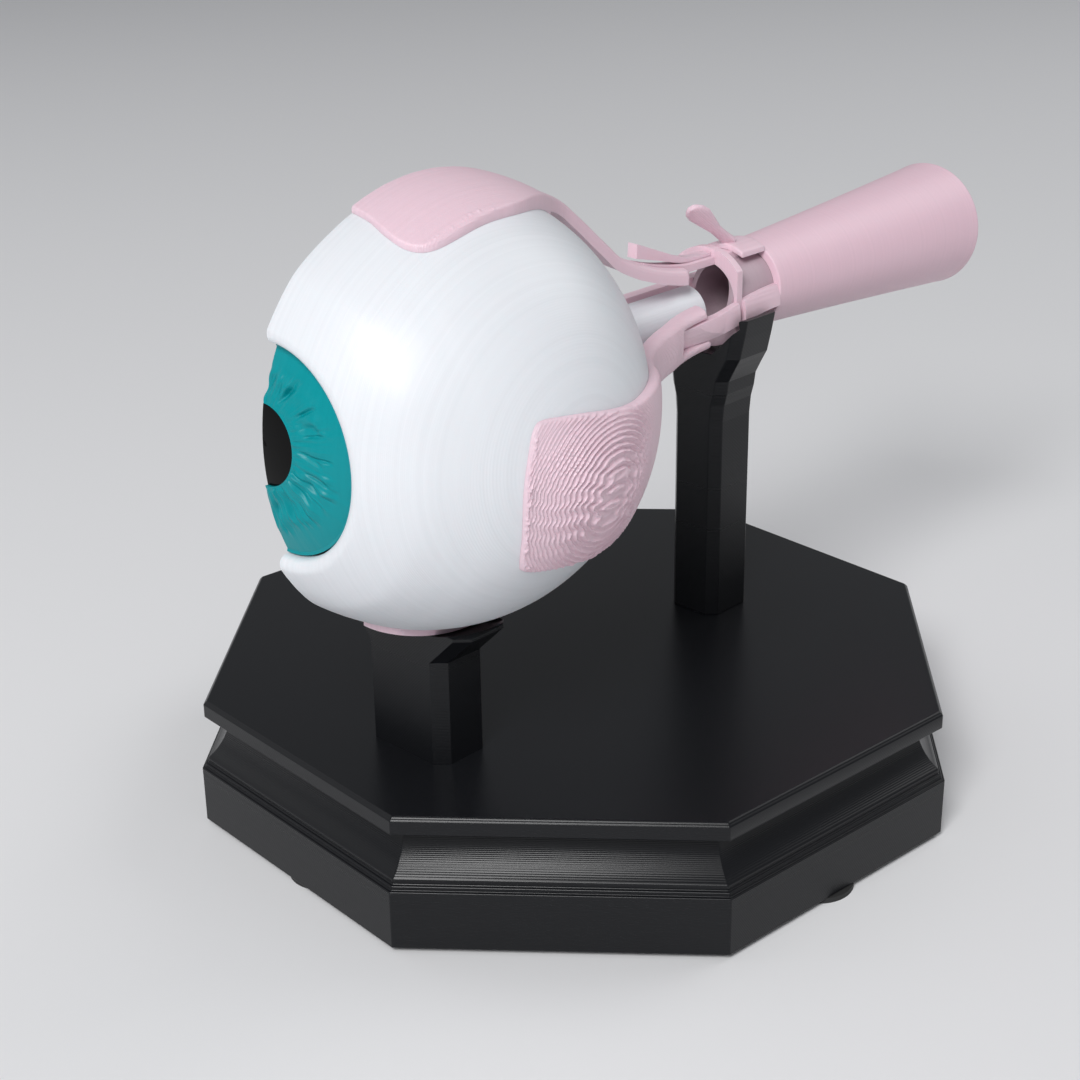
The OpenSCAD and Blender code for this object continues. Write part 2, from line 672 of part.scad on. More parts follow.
// Room that the sheath and the ring take from the straps laid over them.
module under_straps() {
  in_cone() {
    cylinder(r = sheath_r + skin_gap, h = far);
    translate([0, 0, ring_y - ring_w / 2 - skin_gap]) cylinder(r = globe_r, h = ring_w + 2 * skin_gap);
    translate([0, 0, cone_front - skin_gap]) cylinder(r = globe_r, h = far);
  }
}

// Space that the straps keep to below the fork's tips, so that they draw back and lift out.
module strap_room() { in_cone() cylinder(r = fork_r - 0.35, h = far); }

// The tongues that run from the slots of the straps back to the cone's rim.
module strap_tongues() {
  w = slot_w - tongue_gap;
  run = cone_front + 1 - eye_y;
  side_start = lat_tip - slot_len + 0.5;
  side_line = smooth([[side_start, 0], [lat_tip, 0], [lat_tip + 3, 0.15], [29, 1.1], [37, 2],
    [cone_front + 1, 2.2]], 3);
  color([0.85, 0.7, 0.76]) difference() {
    union() {
      in_eye() intersection() {
        superior_skin(run);
        translate([-w, sup_tip - slot_len + 0.5 - eye_y, 0]) cube([2 * w, far, far]);
      }
      intersection() {
        in_eye() side_skin(run);
        translate([axis_x, 0, axis_z + lat_lift]) rotate([90, 0, 90]) linear_extrude(globe_r) polygon(concat(
          [for (q = side_line) [q[0], q[1] - w]], back([for (q = side_line) [q[0], q[1] + w]])));
        strap_room();
      }
    }
    under_straps();
  }
}

// Inner muscle's strap, straight from the cone's rim forward past the ring to a free end beside the nerve.
module medial_rectus() {
  inner_x = sheath_r + skin_gap;
  color([0.8, 0.62, 0.69]) difference() {
    intersection() {
      in_eye() translate([-inner_x - strap_t, globe_r + 8.5, lat_lift - strap_w])
        cube([strap_t, far, 2 * strap_w]);
      strap_room();
    }
    under_straps();
  }
}

// Narrow plate that rises forward from the upper tongue above the superior muscle, with a free end.
module levator_strap() {
  seat = axis_z + sup_tail + 2 * skin_gap;
  tail_y = ring_y - ring_w / 2 - skin_gap;
  plate_w = 2.2;
  color([0.87, 0.72, 0.78]) translate([axis_x - 1, 0, 0]) rotate([90, 0, 90]) linear_extrude(plate_w)
    polygon(concat(
      smooth([[levator_tip + 0.2, seat + 6.4], [14, seat + 3.7], [19, seat + 1.75], [23.2, seat + 0.75],
        [tail_y, seat + 0.55]], 4),
      smooth([[tail_y, seat], [23, seat], [19, seat + 0.5], [13, seat + 2.15], [levator_tip, seat + 3.7]], 4)));
}

// Petal that stands up and forward from a curled collar on the cone's front rim.
module superior_oblique_leaf() {
  t = 1.7;
  root_y = 35.4;
  seat = sup_tail - cone_lift + skin_gap;
  collar_r = 9.5;
  collar_w = 4.6;
  collar_y = root_y - 1.4;
  color([0.87, 0.72, 0.78]) difference() {
    union() {
      translate([axis_x, root_y + 1, cone_z + seat + 0.6]) rotate([180 - leaf_slope, 0, 0]) rotate([0, 14, 0])
        translate([0, 0, -t / 2]) linear_extrude(t) polygon(concat(
          smooth([[1.7, -1], [1.6, 3], [1.7, 6], [leaf_w - 0.2, leaf_len - 6], [leaf_w, leaf_len - 3.2],
            [leaf_w - 0.6, leaf_len - 1], [0, leaf_len]], 4),
          smooth([[0, leaf_len], [0.6 - leaf_w, leaf_len - 1], [-leaf_w, leaf_len - 3.2],
            [0.2 - leaf_w, leaf_len - 6], [-1.7, 6], [-1.6, 3], [-1.7, -1]], 4)));
      in_cone() intersection() {
        translate([0, 0, collar_y]) cylinder(r = collar_r, h = cone_front - collar_y - skin_gap);
        translate([-collar_w, -far, 0]) cube([2 * collar_w, far, far]);
      }
    }
    in_cone() cylinder(r = sheath_r + skin_gap, h = far);
    in_eye() rotate([-90, 0, 0]) cylinder(r = sup_tail + skin_gap, h = far);
    in_cone() translate([0, 0, cone_front - skin_gap]) cylinder(r = far, h = far);
  }
}

base_plinth();
base_top();
base_feet();
front_post();
rear_post();
post_screws();
sclera();
choroid();
retina();
ciliary_body();
superior_rectus();
lateral_rectus();
inferior_rectus();
optic_nerve();
iris();
pupil();
lens();
vitreous_body();
tendon_ring();
nerve_sheath();
muscle_cone();
strap_tongues();
medial_rectus();
levator_strap();
superior_oblique_leaf();
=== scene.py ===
import math
import bpy
import bmesh
import numpy as np
from mathutils import Matrix, Vector
from mathutils.geometry import delaunay_2d_cdt


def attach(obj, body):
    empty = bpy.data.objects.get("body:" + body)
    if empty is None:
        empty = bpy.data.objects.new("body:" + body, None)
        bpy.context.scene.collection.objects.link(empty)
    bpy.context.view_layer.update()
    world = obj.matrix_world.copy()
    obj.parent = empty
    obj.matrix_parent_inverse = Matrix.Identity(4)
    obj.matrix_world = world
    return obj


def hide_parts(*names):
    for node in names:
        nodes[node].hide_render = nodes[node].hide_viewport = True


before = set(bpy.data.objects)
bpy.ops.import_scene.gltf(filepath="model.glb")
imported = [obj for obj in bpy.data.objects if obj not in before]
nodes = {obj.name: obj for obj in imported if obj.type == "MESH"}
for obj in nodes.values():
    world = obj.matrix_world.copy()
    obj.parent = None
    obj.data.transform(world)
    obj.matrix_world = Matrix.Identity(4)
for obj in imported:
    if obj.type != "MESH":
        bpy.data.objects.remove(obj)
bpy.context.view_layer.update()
MM = 0.001

# ---- Camera: a short telephoto from the front right and above, as the photograph was taken.
cam_data = bpy.data.cameras.new("camera")
cam_data.sensor_width = 36.0
cam_data.lens = 65.40
cam_data.clip_start = 0.01
camera = bpy.data.objects.new("camera", cam_data)
camera.matrix_world = (Matrix.Translation(Vector((239.9, -256.1, 199.3)) * MM)
                       @ Matrix.Rotation(math.radians(44.23), 4, "Z")
                       @ Matrix.Rotation(math.radians(90.0 - 23.346), 4, "X")
                       @ Matrix.Rotation(math.radians(-0.831), 4, "Z"))
bpy.context.scene.collection.objects.link(camera)
bpy.context.scene.camera = camera

# ---- Floor: a plain pale sheet, for the object's soft shadow.
floor_mesh = bpy.data.meshes.new("floor")
floor_mesh.from_pydata([(-6, -6, 0), (6, -6, 0), (6, 6, 0), (-6, 6, 0)], [], [(0, 1, 2, 3)])
floor = bpy.data.objects.new("floor", floor_mesh)
bpy.context.scene.collection.objects.link(floor)
floor_mat = bpy.data.materials.new("floor_paper")
floor_mat.use_nodes = True
floor_bsdf = floor_mat.node_tree.nodes["Principled BSDF"]
floor_bsdf.inputs["Base Color"].default_value = (0.80, 0.80, 0.81, 1)
floor_bsdf.inputs["Roughness"].default_value = 0.85
floor_mesh.materials.append(floor_mat)

# ---- Lamps: one soft box high above the camera, weaker ones from the far left and behind, a dim surround.
for name, at, size, watts in (("key", (0.48, -0.98, 1.02), 0.55, 16.5),
                              ("fill", (-0.95, -0.45, 0.60), 1.0, 1.3),
                              ("back", (0.3, 1.1, 1.0), 0.9, 4.0)):
    lamp = bpy.data.lights.new(name, "AREA")
    lamp.energy = watts
    lamp.size = size
    lamp_obj = bpy.data.objects.new(name, lamp)
    lamp_obj.location = at
    lamp_obj.rotation_euler = (Vector((0.0, -0.02, 0.08)) - Vector(at)).to_track_quat("-Z", "Y").to_euler()
    bpy.context.scene.collection.objects.link(lamp_obj)
world = bpy.data.worlds.new("surround")
world.use_nodes = True
bpy.context.scene.world = world
surround = world.node_tree.nodes["Background"]
surround.inputs["Color"].default_value = (0.86, 0.88, 0.92, 1)
surround.inputs["Strength"].default_value = 0.28
bpy.context.scene.view_settings.view_transform = "Standard"


# ---- Printed plastic: melted filament laid down in layers a quarter of a millimetre high.
# The layers show as fine ridges square to the build direction, and each differs a little in tone and sheen.
# One group gives the ridges' height and the wander from layer to layer, for every printed material.
layers = bpy.data.node_groups.new("layer_ridges", "ShaderNodeTree")
direction_in = layers.interface.new_socket("Direction", in_out="INPUT", socket_type="NodeSocketVector")
direction_in.default_value = (0, 0, 1)
layer_in = layers.interface.new_socket("Layer", in_out="INPUT", socket_type="NodeSocketFloat")
layer_in.default_value = 0.00025
layers.interface.new_socket("Height", in_out="OUTPUT", socket_type="NodeSocketFloat")
layers.interface.new_socket("Wander", in_out="OUTPUT", socket_type="NodeSocketFloat")
g_in = layers.nodes.new("NodeGroupInput")
g_out = layers.nodes.new("NodeGroupOutput")
coord = layers.nodes.new("ShaderNodeTexCoord")
dot = layers.nodes.new("ShaderNodeVectorMath")
dot.operation = "DOT_PRODUCT"
layers.links.new(coord.outputs["Object"], dot.inputs[0])
layers.links.new(g_in.outputs["Direction"], dot.inputs[1])
div = layers.nodes.new("ShaderNodeMath")
div.operation = "DIVIDE"
layers.links.new(dot.outputs["Value"], div.inputs[0])
layers.links.new(g_in.outputs["Layer"], div.inputs[1])
tau = layers.nodes.new("ShaderNodeMath")
tau.operation = "MULTIPLY"
tau.inputs[1].default_value = 2 * math.pi
layers.links.new(div.outputs[0], tau.inputs[0])
wave = layers.nodes.new("ShaderNodeMath")
wave.operation = "SINE"
layers.links.new(tau.outputs[0], wave.inputs[0])
layers.links.new(wave.outputs[0], g_out.inputs["Height"])
whole = layers.nodes.new("ShaderNodeMath")
whole.operation = "FLOOR"
layers.links.new(div.outputs[0], whole.inputs[0])
noise = layers.nodes.new("ShaderNodeTexNoise")
noise.noise_dimensions = "1D"
noise.inputs["Scale"].default_value = 0.37
layers.links.new(whole.outputs[0], noise.inputs["W"])
layers.links.new(noise.outputs["Fac"], g_out.inputs["Wander"])


def printed(name, colour, rough, direction, layer, ridge, shine=0.5, mottle=0.04, sub=0.0):
    """A printed plastic of one colour: ridges along direction, slight colour and sheen change by layer."""
    mat = bpy.data.materials.new(name)
    mat.use_nodes = True
    tree = mat.node_tree
    bsdf = tree.nodes["Principled BSDF"]
    bsdf.inputs["Specular IOR Level"].default_value = shine
    bsdf.inputs["Subsurface Weight"].default_value = sub
    bsdf.inputs["Subsurface Radius"].default_value = (0.9, 0.6, 0.6)
    bsdf.inputs["Subsurface Scale"].default_value = 0.002
    ridges = tree.nodes.new("ShaderNodeGroup")
    ridges.node_tree = layers
    ridges.inputs["Direction"].default_value = direction
    ridges.inputs["Layer"].default_value = layer
    bump = tree.nodes.new("ShaderNodeBump")
    bump.inputs["Distance"].default_value = ridge
    bump.inputs["Strength"].default_value = 1.0
    tree.links.new(ridges.outputs["Height"], bump.inputs["Height"])
    tree.links.new(bump.outputs["Normal"], bsdf.inputs["Normal"])
    ramp = tree.nodes.new("ShaderNodeMix")
    ramp.data_type = "RGBA"
    ramp.inputs["A"].default_value = (*[c * (1 - mottle) for c in colour], 1)
    ramp.inputs["B"].default_value = (*[min(1, c * (1 + mottle)) for c in colour], 1)
    tree.links.new(ridges.outputs["Wander"], ramp.inputs["Factor"])
    tree.links.new(ramp.outputs["Result"], bsdf.inputs["Base Color"])
    rr = tree.nodes.new("ShaderNodeMapRange")
    rr.inputs["To Min"].default_value = rough - 0.06
    rr.inputs["To Max"].default_value = rough + 0.06
    tree.links.new(ridges.outputs["Wander"], rr.inputs["Value"])
    tree.links.new(rr.outputs["Result"], bsdf.inputs["Roughness"])
    return mat


def dress(node, mat):
    """Gives a CAD node its material on every slot."""
    mesh = nodes[node].data
    mesh.materials.clear()
    mesh.materials.append(mat)


# ---- Stand: base block, top slab and the two posts, printed in black with crisp chamfers.
# The edges are a touch rounded, as a print's are; pads are stuck under the block and screws hold the posts.
black = printed("black_print", (0.006, 0.0065, 0.008), 0.30, (0, 0, 1), 0.0003, 0.000008, shine=0.28)
for n, name, width in (("base_plinth", "plinth_block", 0.22), ("base_top", "top_slab", 0.18),
                       ("front_post", "front_cradle_post", 0.22), ("rear_post", "rear_fork_post", 0.22)):
    edged = nodes[n].copy()
    edged.data = nodes[n].data.copy()
    edged.name = name
    edged.parent = None
    for key in list(edged.keys()):
        del edged[key]
    bpy.context.scene.collection.objects.link(edged)
    bm = bmesh.new()
    bm.from_mesh(edged.data)
    bmesh.ops.remove_doubles(bm, verts=bm.verts, dist=0.000005)
    bmesh.ops.dissolve_limit(bm, angle_limit=math.radians(0.6), verts=bm.verts, edges=bm.edges)
    bm.to_mesh(edged.data)
    bm.free()
    bevel = edged.modifiers.new("edge", "BEVEL")
    bevel.width = width * MM
    bevel.segments = 3
    bevel.limit_method = "ANGLE"
    bevel.angle_limit = math.radians(28)
    bevel.harden_normals = True
    done = bpy.data.meshes.new_from_object(edged.evaluated_get(bpy.context.evaluated_depsgraph_get()))
    edged.modifiers.clear()
    edged.data = done
    done.materials.clear()
    done.materials.append(black)
    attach(edged, "stand")
    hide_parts(n)
dress("base_feet", printed("foot_rubber", (0.02, 0.02, 0.02), 0.7, (0, 0, 1), 0.0003, 0.000005))
dress("post_screws", printed("screw_steel", (0.5, 0.5, 0.52), 0.35, (0, 0, 1), 0.0005, 0.000005))

# ---- White shell of the eye: half a thick printed ball, its front drawn into a rounded lip round the iris.
# It was printed on its cut face, so the layers lie parallel to the cut; the nerve is a stub pushed through it.
white = printed("white_print", (0.765, 0.785, 0.82), 0.36, (1, 0, 0), 0.00025, 0.000004, sub=0.2)


def curve(points, n=8):
    """A smooth line through the points, n steps to each span."""
    p = np.array(points, float)
    ext = np.vstack([p[:1], p, p[-1:]])
    out = []
    for k in range(len(p) - 1):
        a, b, c, d = ext[k:k + 4]
        for t in np.arange(n) / n:
            out.append(0.5 * (2 * b + (c - a) * t + (2 * a - 5 * b + 4 * c - d) * t * t
                              + (3 * b - a - 3 * c + d) * t ** 3))
    out.append(p[-1])
    return np.array(out)


def solid(name, verts, faces, mat, body, replaced, sharp=50):
    """A finished piece from row-frame millimetres, smooth but for its sharp edges, riding on its body."""
    mesh = bpy.data.meshes.new(name)
    mesh.from_pydata((np.asarray(verts) * MM).tolist(), [], [tuple(f) for f in faces])
    bm = bmesh.new()
    bm.from_mesh(mesh)
    bmesh.ops.remove_doubles(bm, verts=bm.verts, dist=0.000002)
    bmesh.ops.recalc_face_normals(bm, faces=bm.faces)
    bm.to_mesh(mesh)
    bm.free()
    mesh.polygons.foreach_set("use_smooth", [True] * len(mesh.polygons))
    mesh.set_sharp_from_angle(angle=math.radians(sharp))
    mesh.materials.append(mat)
    piece = bpy.data.objects.new(name, mesh)
    bpy.context.scene.collection.objects.link(piece)
    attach(piece, body)
    if replaced:
        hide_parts(*replaced)
    return piece


EYE = np.array((8.1, -45.3, 89.5))
gaze = math.radians(1.0)
lip_s = math.sqrt(38.0 ** 2 - 17.7 ** 2)


def out_of_eye(right, up, out):
    """Points given right, up and out along the line of sight, from the globe's middle, in row millimetres."""
    return np.stack([right, up * math.sin(gaze) - out * math.cos(gaze),
                     up * math.cos(gaze) + out * math.sin(gaze)], -1) + EYE


lip = curve([[17.7, -2.75], [17.78, -2.1], [18.1, -1.5], [18.65, -1.15], [19.3, -1.05], [20.0, -1.16],
             [20.9, -1.66], [22.4, -2.65], [25.2, -4.72], [28.1, -7.4], [31.05, -11.5], [33.5, -15.7]], 8)
lip[:, 1] += lip_s
arc_end = math.asin(lip[-1, 1] / 38.0) - 0.02
outer_arc = [(38.0 * math.cos(t), 38.0 * math.sin(t)) for t in np.linspace(-math.pi / 2, arc_end, 130)]
inner_arc = [(34.0 * math.cos(t), 34.0 * math.sin(t))
             for t in np.linspace(math.acos(17.7 / 34.0), -math.pi / 2, 90)]
profile = np.array(outer_arc + [tuple(q) for q in lip[::-1]] + inner_arc)
steps, m = 200, len(profile)
verts = np.vstack([out_of_eye(profile[:, 0] * math.cos(a), profile[:, 0] * math.sin(a), profile[:, 1])
                   for a in np.linspace(-math.pi / 2, math.pi / 2, steps + 1)])
faces = [(k * m + j, k * m + j + 1, (k + 1) * m + j + 1, (k + 1) * m + j)
         for k in range(steps) for j in range(m - 1)]
faces += [tuple(range(m)), tuple(range(steps * m + m - 1, steps * m - 1, -1))]
shell = solid("sclera_shell", verts, faces, white, "eye", ["sclera"])
drill = bmesh.new()
bmesh.ops.create_cone(drill, cap_ends=True, segments=96, radius1=5.05 * MM, radius2=5.05 * MM, depth=30 * MM,
                      matrix=Matrix.Translation(Vector((8.1, -45.3 + 36.0, 89.5 + 1.1)) * MM)
                      @ Matrix.Rotation(math.radians(90), 4, "X"))
drill_mesh = bpy.data.meshes.new("drill")
drill.to_mesh(drill_mesh)
drill.free()
drill_obj = bpy.data.objects.new("drill", drill_mesh)
bpy.context.scene.collection.objects.link(drill_obj)
way = shell.modifiers.new("nerve_way", "BOOLEAN")
way.object = drill_obj
way.solver = "EXACT"
drilled = bpy.data.meshes.new_from_object(shell.evaluated_get(bpy.context.evaluated_depsgraph_get()))
shell.modifiers.clear()
shell.data = drilled
bpy.data.objects.remove(drill_obj)
dress("optic_nerve", white)

# ---- Muscles over the globe: thin pink prints laid on the shell, each running back into a forked strap.
# The outer one shows its layers as terraces round a point below its middle, with small beads along its front edge.
pink = printed("pink_print", (0.80, 0.585, 0.665), 0.42, (1, 0, 0), 0.00026, 0.000012, sub=0.2)


def skin_line(r, s, r1, leave, fall):
    """Distance from the eye's axis of a muscle's outer and under face, against distance behind the globe's middle."""
    y0 = 38.0 * leave
    r0 = math.sqrt(r * r - (y0 - s) ** 2)
    tail = curve([(y0 + (72.0 - y0) * u, r1 + (r0 - r1) * f) for u, f in fall], 10)
    ball = [(y, math.sqrt(r * r - (y - s) ** 2)) for y in np.linspace(-20.0, y0 - 0.2, 200)]
    line = np.array(ball + [tuple(q) for q in tail])
    d = np.gradient(line, axis=0)
    d /= np.linalg.norm(d, axis=1)[:, None]
    under = line + 2.3 * np.stack([d[:, 1], -d[:, 0]], 1)
    keep = under[:, 0] > y0
    return line, under[keep]


def plate(outline, hard, step, outer, inner, edge):
    """Closed body between two height fields over an outline; its outer edge is rounded except along hard edges."""
    ring = []
    for a, b, keep_hard in zip(outline, np.roll(outline, -1, 0), hard):
        n = max(1, int(round(np.linalg.norm(b - a) / step)))
        ring += [(*(a + (b - a) * t), keep_hard) for t in np.arange(n) / n]
    ring = np.array(ring)
    low, high = ring[:, :2].min(0), ring[:, :2].max(0)
    us, vs = np.meshgrid(np.arange(low[0], high[0], step), np.arange(low[1], high[1], step * 0.866))
    us[1::2] += step / 2
    pts = np.stack([us.ravel(), vs.ravel()], 1)
    a, b = ring[:, :2], np.roll(ring[:, :2], -1, 0)
    inside = np.zeros(len(pts), bool)
    for p, q in zip(a, b):
        cross = (p[1] > pts[:, 1]) != (q[1] > pts[:, 1])
        if p[1] != q[1]:
            inside ^= cross & (pts[:, 0] < (q[0] - p[0]) * (pts[:, 1] - p[1]) / (q[1] - p[1]) + p[0])
    pts = pts[inside]

    def away(pts, chosen):
        best = np.full(len(pts), 9.0)
        for p, q in zip(a[chosen], b[chosen]):
            w = q - p
            t = np.clip(((pts - p) @ w) / max(w @ w, 1e-12), 0, 1)
            best = np.minimum(best, np.linalg.norm(pts - p - t[:, None] * w, axis=1))
        return best

    pts = pts[away(pts, np.ones(len(a), bool)) > 0.45 * step]
    n = len(ring)
    out = delaunay_2d_cdt([Vector(p) for p in np.vstack([ring[:, :2], pts])],
                          [(k, (k + 1) % n) for k in range(n)], [], 1, 1e-6)
    flat = np.array([tuple(v) for v in out[0]])
    tris = [tuple(f) for f in out[2]]
    soft = ring[:, 2] < 0.5
    edge = edge(flat[:, 0], flat[:, 1])
    d = np.clip(away(flat, soft) / edge, 0, 1)
    top = outer(flat[:, 0], flat[:, 1])
    bottom = np.minimum(inner(flat[:, 0], flat[:, 1]), top - 0.3)
    round_off = edge * (1 - np.sqrt(1 - (1 - d) ** 2))
    top = np.maximum(top - np.minimum(round_off, 0.8 * (top - bottom)), bottom + 0.05)
    count = len(flat)
    edges = {}
    for t in tris:
        for k in range(3):
            e = (t[k], t[(k + 1) % 3])
            edges[e] = edges.get(e, 0) + 1
    sides = [(q, p, p + count, q + count) for (p, q) in edges if (q, p) not in edges]
    return flat, top, bottom, tris + [tuple(k + count for k in reversed(t)) for t in tris] + sides


side_line, side_under = skin_line(39.4, 0.8, 8.8, 0.853, [
    (0, 1), (0.053, 0.85), (0.116, 0.703), (0.192, 0.564), (0.273, 0.453), (0.369, 0.348), (0.462, 0.265),
    (0.586, 0.147), (0.735, 0.056), (0.912, 0.007), (1, 0), (1.6, 0)])
build_dir = np.array((0.972, 0.110, -0.208))
layer = 0.27
rng = np.random.default_rng(7)
blobs = [(rng.uniform(-17.0, 7.5), rng.uniform(0.05, 0.6), rng.uniform(0.10, 0.26)) for _ in range(30)]


def ease(a, b, x):
    t = np.clip((x - a) / (b - a), 0, 1)
    return t * t * (3 - 2 * t)


def side_out(u, v):
    """Height of the lateral muscle along X: steps one layer high, each with a lip, scalloped below the middle."""
    x = np.sqrt(np.maximum(np.interp(u, side_line[:, 0], side_line[:, 1]) ** 2 - v * v, 0.01))
    h = (build_dir[0] * x + build_dir[1] * u + build_dir[2] * v) / layer
    scallop = 0.34 * np.exp(-((v + 8.0) / 6.0) ** 2) * ease(16, 8, u)
    h += scallop * np.sin(2.1 * v + 0.5 * u + 0.8 * np.sin(0.6 * u)) + 0.10 * np.sin(0.5 * v + 0.4 * u) \
        + 0.05 * np.sin(3.4 * v - 1.7 * u) * ease(20, 12, u)
    f = h - np.floor(h)
    strength = (0.75 + 0.95 * ease(-10, 0, u)) * (1 - 0.88 * ease(11, 20, u)) * (1 - 0.4 * ease(0, 7, v))
    thin = 0.45 * (1 - ease(-13, -3, u)) + 0.4 * ease(2, 8, v) * (1 - ease(14, 24, u))
    return x + (ease(0, 0.3, f) - f + 0.55 * np.exp(-((f - 0.32) / 0.15) ** 2) - 0.5) * layer * strength - 0.05 - thin


def side_in(u, v):
    ball = np.sqrt(np.maximum(38.03 ** 2 - u * u - v * v, 0.01))
    strap = np.sqrt(np.maximum(np.interp(u, side_under[:, 0], side_under[:, 1], left=0) ** 2 - v * v, 0.01))
    return np.maximum(ball, strap)


root, tip, lift = 55.1, 65.7, -0.3
lower = curve([[-7.6, 8.3], [-9.6, 8.1], [-10.7, 6.9], [-11.6, 4.6], [-12.6, 0], [-12.8, -5], [-11.9, -12],
               [-11, -16], [-9.6, -17.8], [-3.9, -18.8], [4, -19.6], [11.2, -19.2], [20, -16.2], [26.5, -10.8],
               [31.4, -6.2], [36, lift - 4.4]], 6)
upper = curve([[38, lift + 4.4], [32.4, 4.4], [28.6, 5.2], [22, 5.5], [11, 5.7], [-0.9, 7.6], [-7.6, 8.3]], 6)
slot = [[tip - 0.4, lift - 2.15], [root + 0.4, lift - 2.15], [root, lift - 1.75], [root, lift + 1.75],
        [root + 0.4, lift + 2.15], [tip - 1.6, lift + 2.15]]
outline = np.vstack([lower, [[tip + 0.2, lift - 4.4], [tip + 0.7, lift - 3.9], [tip + 0.7, lift - 2.8]], slot,
                     [[tip - 1.2, lift + 2.5], [tip - 1.2, lift + 3.9], [tip - 1.7, lift + 4.4]], upper[:-1]])
flat, top, bottom, faces = plate(outline, np.zeros(len(outline)), 0.18, side_out, side_in,
                                 lambda u, v: 0.2 + 0.5 * ease(2, 5, v) + 0.9 * ease(20, 32, u))
for at, d, size in blobs:
    edge_u = np.interp(at, [-17.8, -16, -12, -5, 0, 4.6, 6.9, 8.1],
                       [-9.6, -11, -11.9, -12.8, -12.6, -11.6, -10.7, -9.6])
    top += size * np.exp(-((flat[:, 0] - edge_u - d) ** 2 + (flat[:, 1] - at) ** 2) / 0.09)
verts = np.vstack([np.stack([h, flat[:, 0], flat[:, 1]], 1) for h in (top, bottom)]) + EYE
solid("lateral_muscle", verts, faces, pink, "eye", ["lateral_rectus"], 70)
sup_line, sup_under = skin_line(39.6, 1.6, 10.9, 0.584, [
    (0, 1), (0.074, 0.929), (0.149, 0.838), (0.215, 0.729), (0.277, 0.62), (0.335, 0.51), (0.396, 0.397),
    (0.458, 0.284), (0.544, 0.192), (0.608, 0.14), (0.723, 0.065), (0.859, 0.011), (1, 0), (1.6, 0)])


def top_out(u, v):
    """Height of the superior muscle, with the faint steps that a print shows on a gentle slope."""
    z = np.sqrt(np.maximum(np.interp(v, sup_line[:, 0], sup_line[:, 1]) ** 2 - u * u, 0.01))
    f = u / 0.5 + 0.12 * np.sin(1.1 * v) + 0.08 * np.sin(2.9 * v + u)
    return z - 0.02 - 0.022 * (1 + np.sin(2 * math.pi * f))


def top_in(u, v):
    ball = np.sqrt(np.maximum(38.03 ** 2 - u * u - v * v, 0.01))
    strap = np.sqrt(np.maximum(np.interp(v, sup_under[:, 0], sup_under[:, 1], left=0) ** 2 - u * u, 0.01))
    return np.maximum(ball, strap)


root, tip = 53.8, 64.4
over = curve([[0, -13.9], [5, -14.6], [9.3, -15.4], [13.5, -15.2], [16.2, -13.2], [17.3, -9.3], [17.1, -2.6],
              [15.7, 7.7], [11, 18], [6.8, 25], [5, 30], [4.4, 36]], 6)
outline = np.vstack([over, [[4.4, tip - 0.8], [3.9, tip], [2.7, tip], [2.15, tip - 0.6], [2.15, root + 0.4],
                            [1.75, root], [0, root]]])
hard = np.zeros(len(outline))
hard[-1] = 1
flat, top, bottom, faces = plate(outline, hard, 0.2, top_out, top_in,
                                 lambda u, v: 0.3 + 0.5 * ease(18, 30, v))
for at, d, size in blobs[:16]:
    top += 0.8 * size * np.exp(-((flat[:, 0] - 16.6 + d) ** 2 + (flat[:, 1] - at) ** 2) / 0.07)
verts = np.vstack([np.stack([flat[:, 0], flat[:, 1], h], 1) for h in (top, bottom)]) + EYE
solid("superior_muscle", verts, faces, pink, "eye", ["superior_rectus"], 50)
for n in ("inferior_rectus", "strap_tongues", "medial_rectus", "levator_strap", "tendon_ring"):
    dress(n, pink)

# ---- Petal: a thin spoon-shaped leaf that stands up and forward from the rear unit.
# It is printed on a short curled collar, which lies on the sheath just before the cone's front rim.
band = np.array([[-4.6, 34.0], [4.6, 34.0], [4.6, 40.97], [-4.6, 40.97]])
flat, top, bottom, faces = plate(band, np.zeros(4), 0.3,
                                 lambda u, v: 2.6 + np.sqrt(9.48 ** 2 - u * u),
                                 lambda u, v: np.sqrt(10.94 ** 2 - u * u), lambda u, v: 0.3 + 0 * u)
collar = np.vstack([np.stack([flat[:, 0] + 8.1, flat[:, 1], h + 89.5], 1) for h in (top, bottom)])
turn = np.array(Matrix.Rotation(math.radians(143.5), 3, "X") @ Matrix.Rotation(math.radians(42), 3, "Y"))
along, across = 60, 16
verts = []
for side in (1, -1):
    for t in np.linspace(-0.9, 1, along + 1):
        at = 15.6 * (0.5 + 0.5 * t)
        half = np.interp(at, [0, 3, 6.5, 10, 12.4, 14.1, 15.1, 15.6], [1.5, 1.2, 1.2, 1.9, 2.3, 2.05, 1.4, 0.6])
        thick = np.interp(at, [0, 5, 15.6], [0.8, 0.6, 0.5])
        for c in np.linspace(-1, 1, across + 1):
            cup = -0.25 * ease(4, 12, at) * (c * c - 0.4)
            verts.append((half * c, at, cup + side * thick * math.sqrt(max(1 - c * c, 0.0)) ** 0.6))
leaf = np.array(verts) @ turn.T + np.array((8.1, 36.4, 101.02))
row, count = across + 1, (along + 1) * (across + 1)
skin = []
for i in range(along):
    for j in range(across):
        k = i * row + j
        skin += [(k, k + 1, k + row + 1, k + row), (k + count, k + row + count, k + row + 1 + count, k + 1 + count)]
for j in range(across):
    skin += [(j, j + 1, j + 1 + count, j + count),
             (along * row + j + 1, along * row + j, along * row + j + count, along * row + j + 1 + count)]
solid("petal", np.vstack([collar, leaf]), faces + [tuple(i + len(collar) for i in f) for f in skin], pink,
      "cone_unit", ["superior_oblique_leaf"], 60)

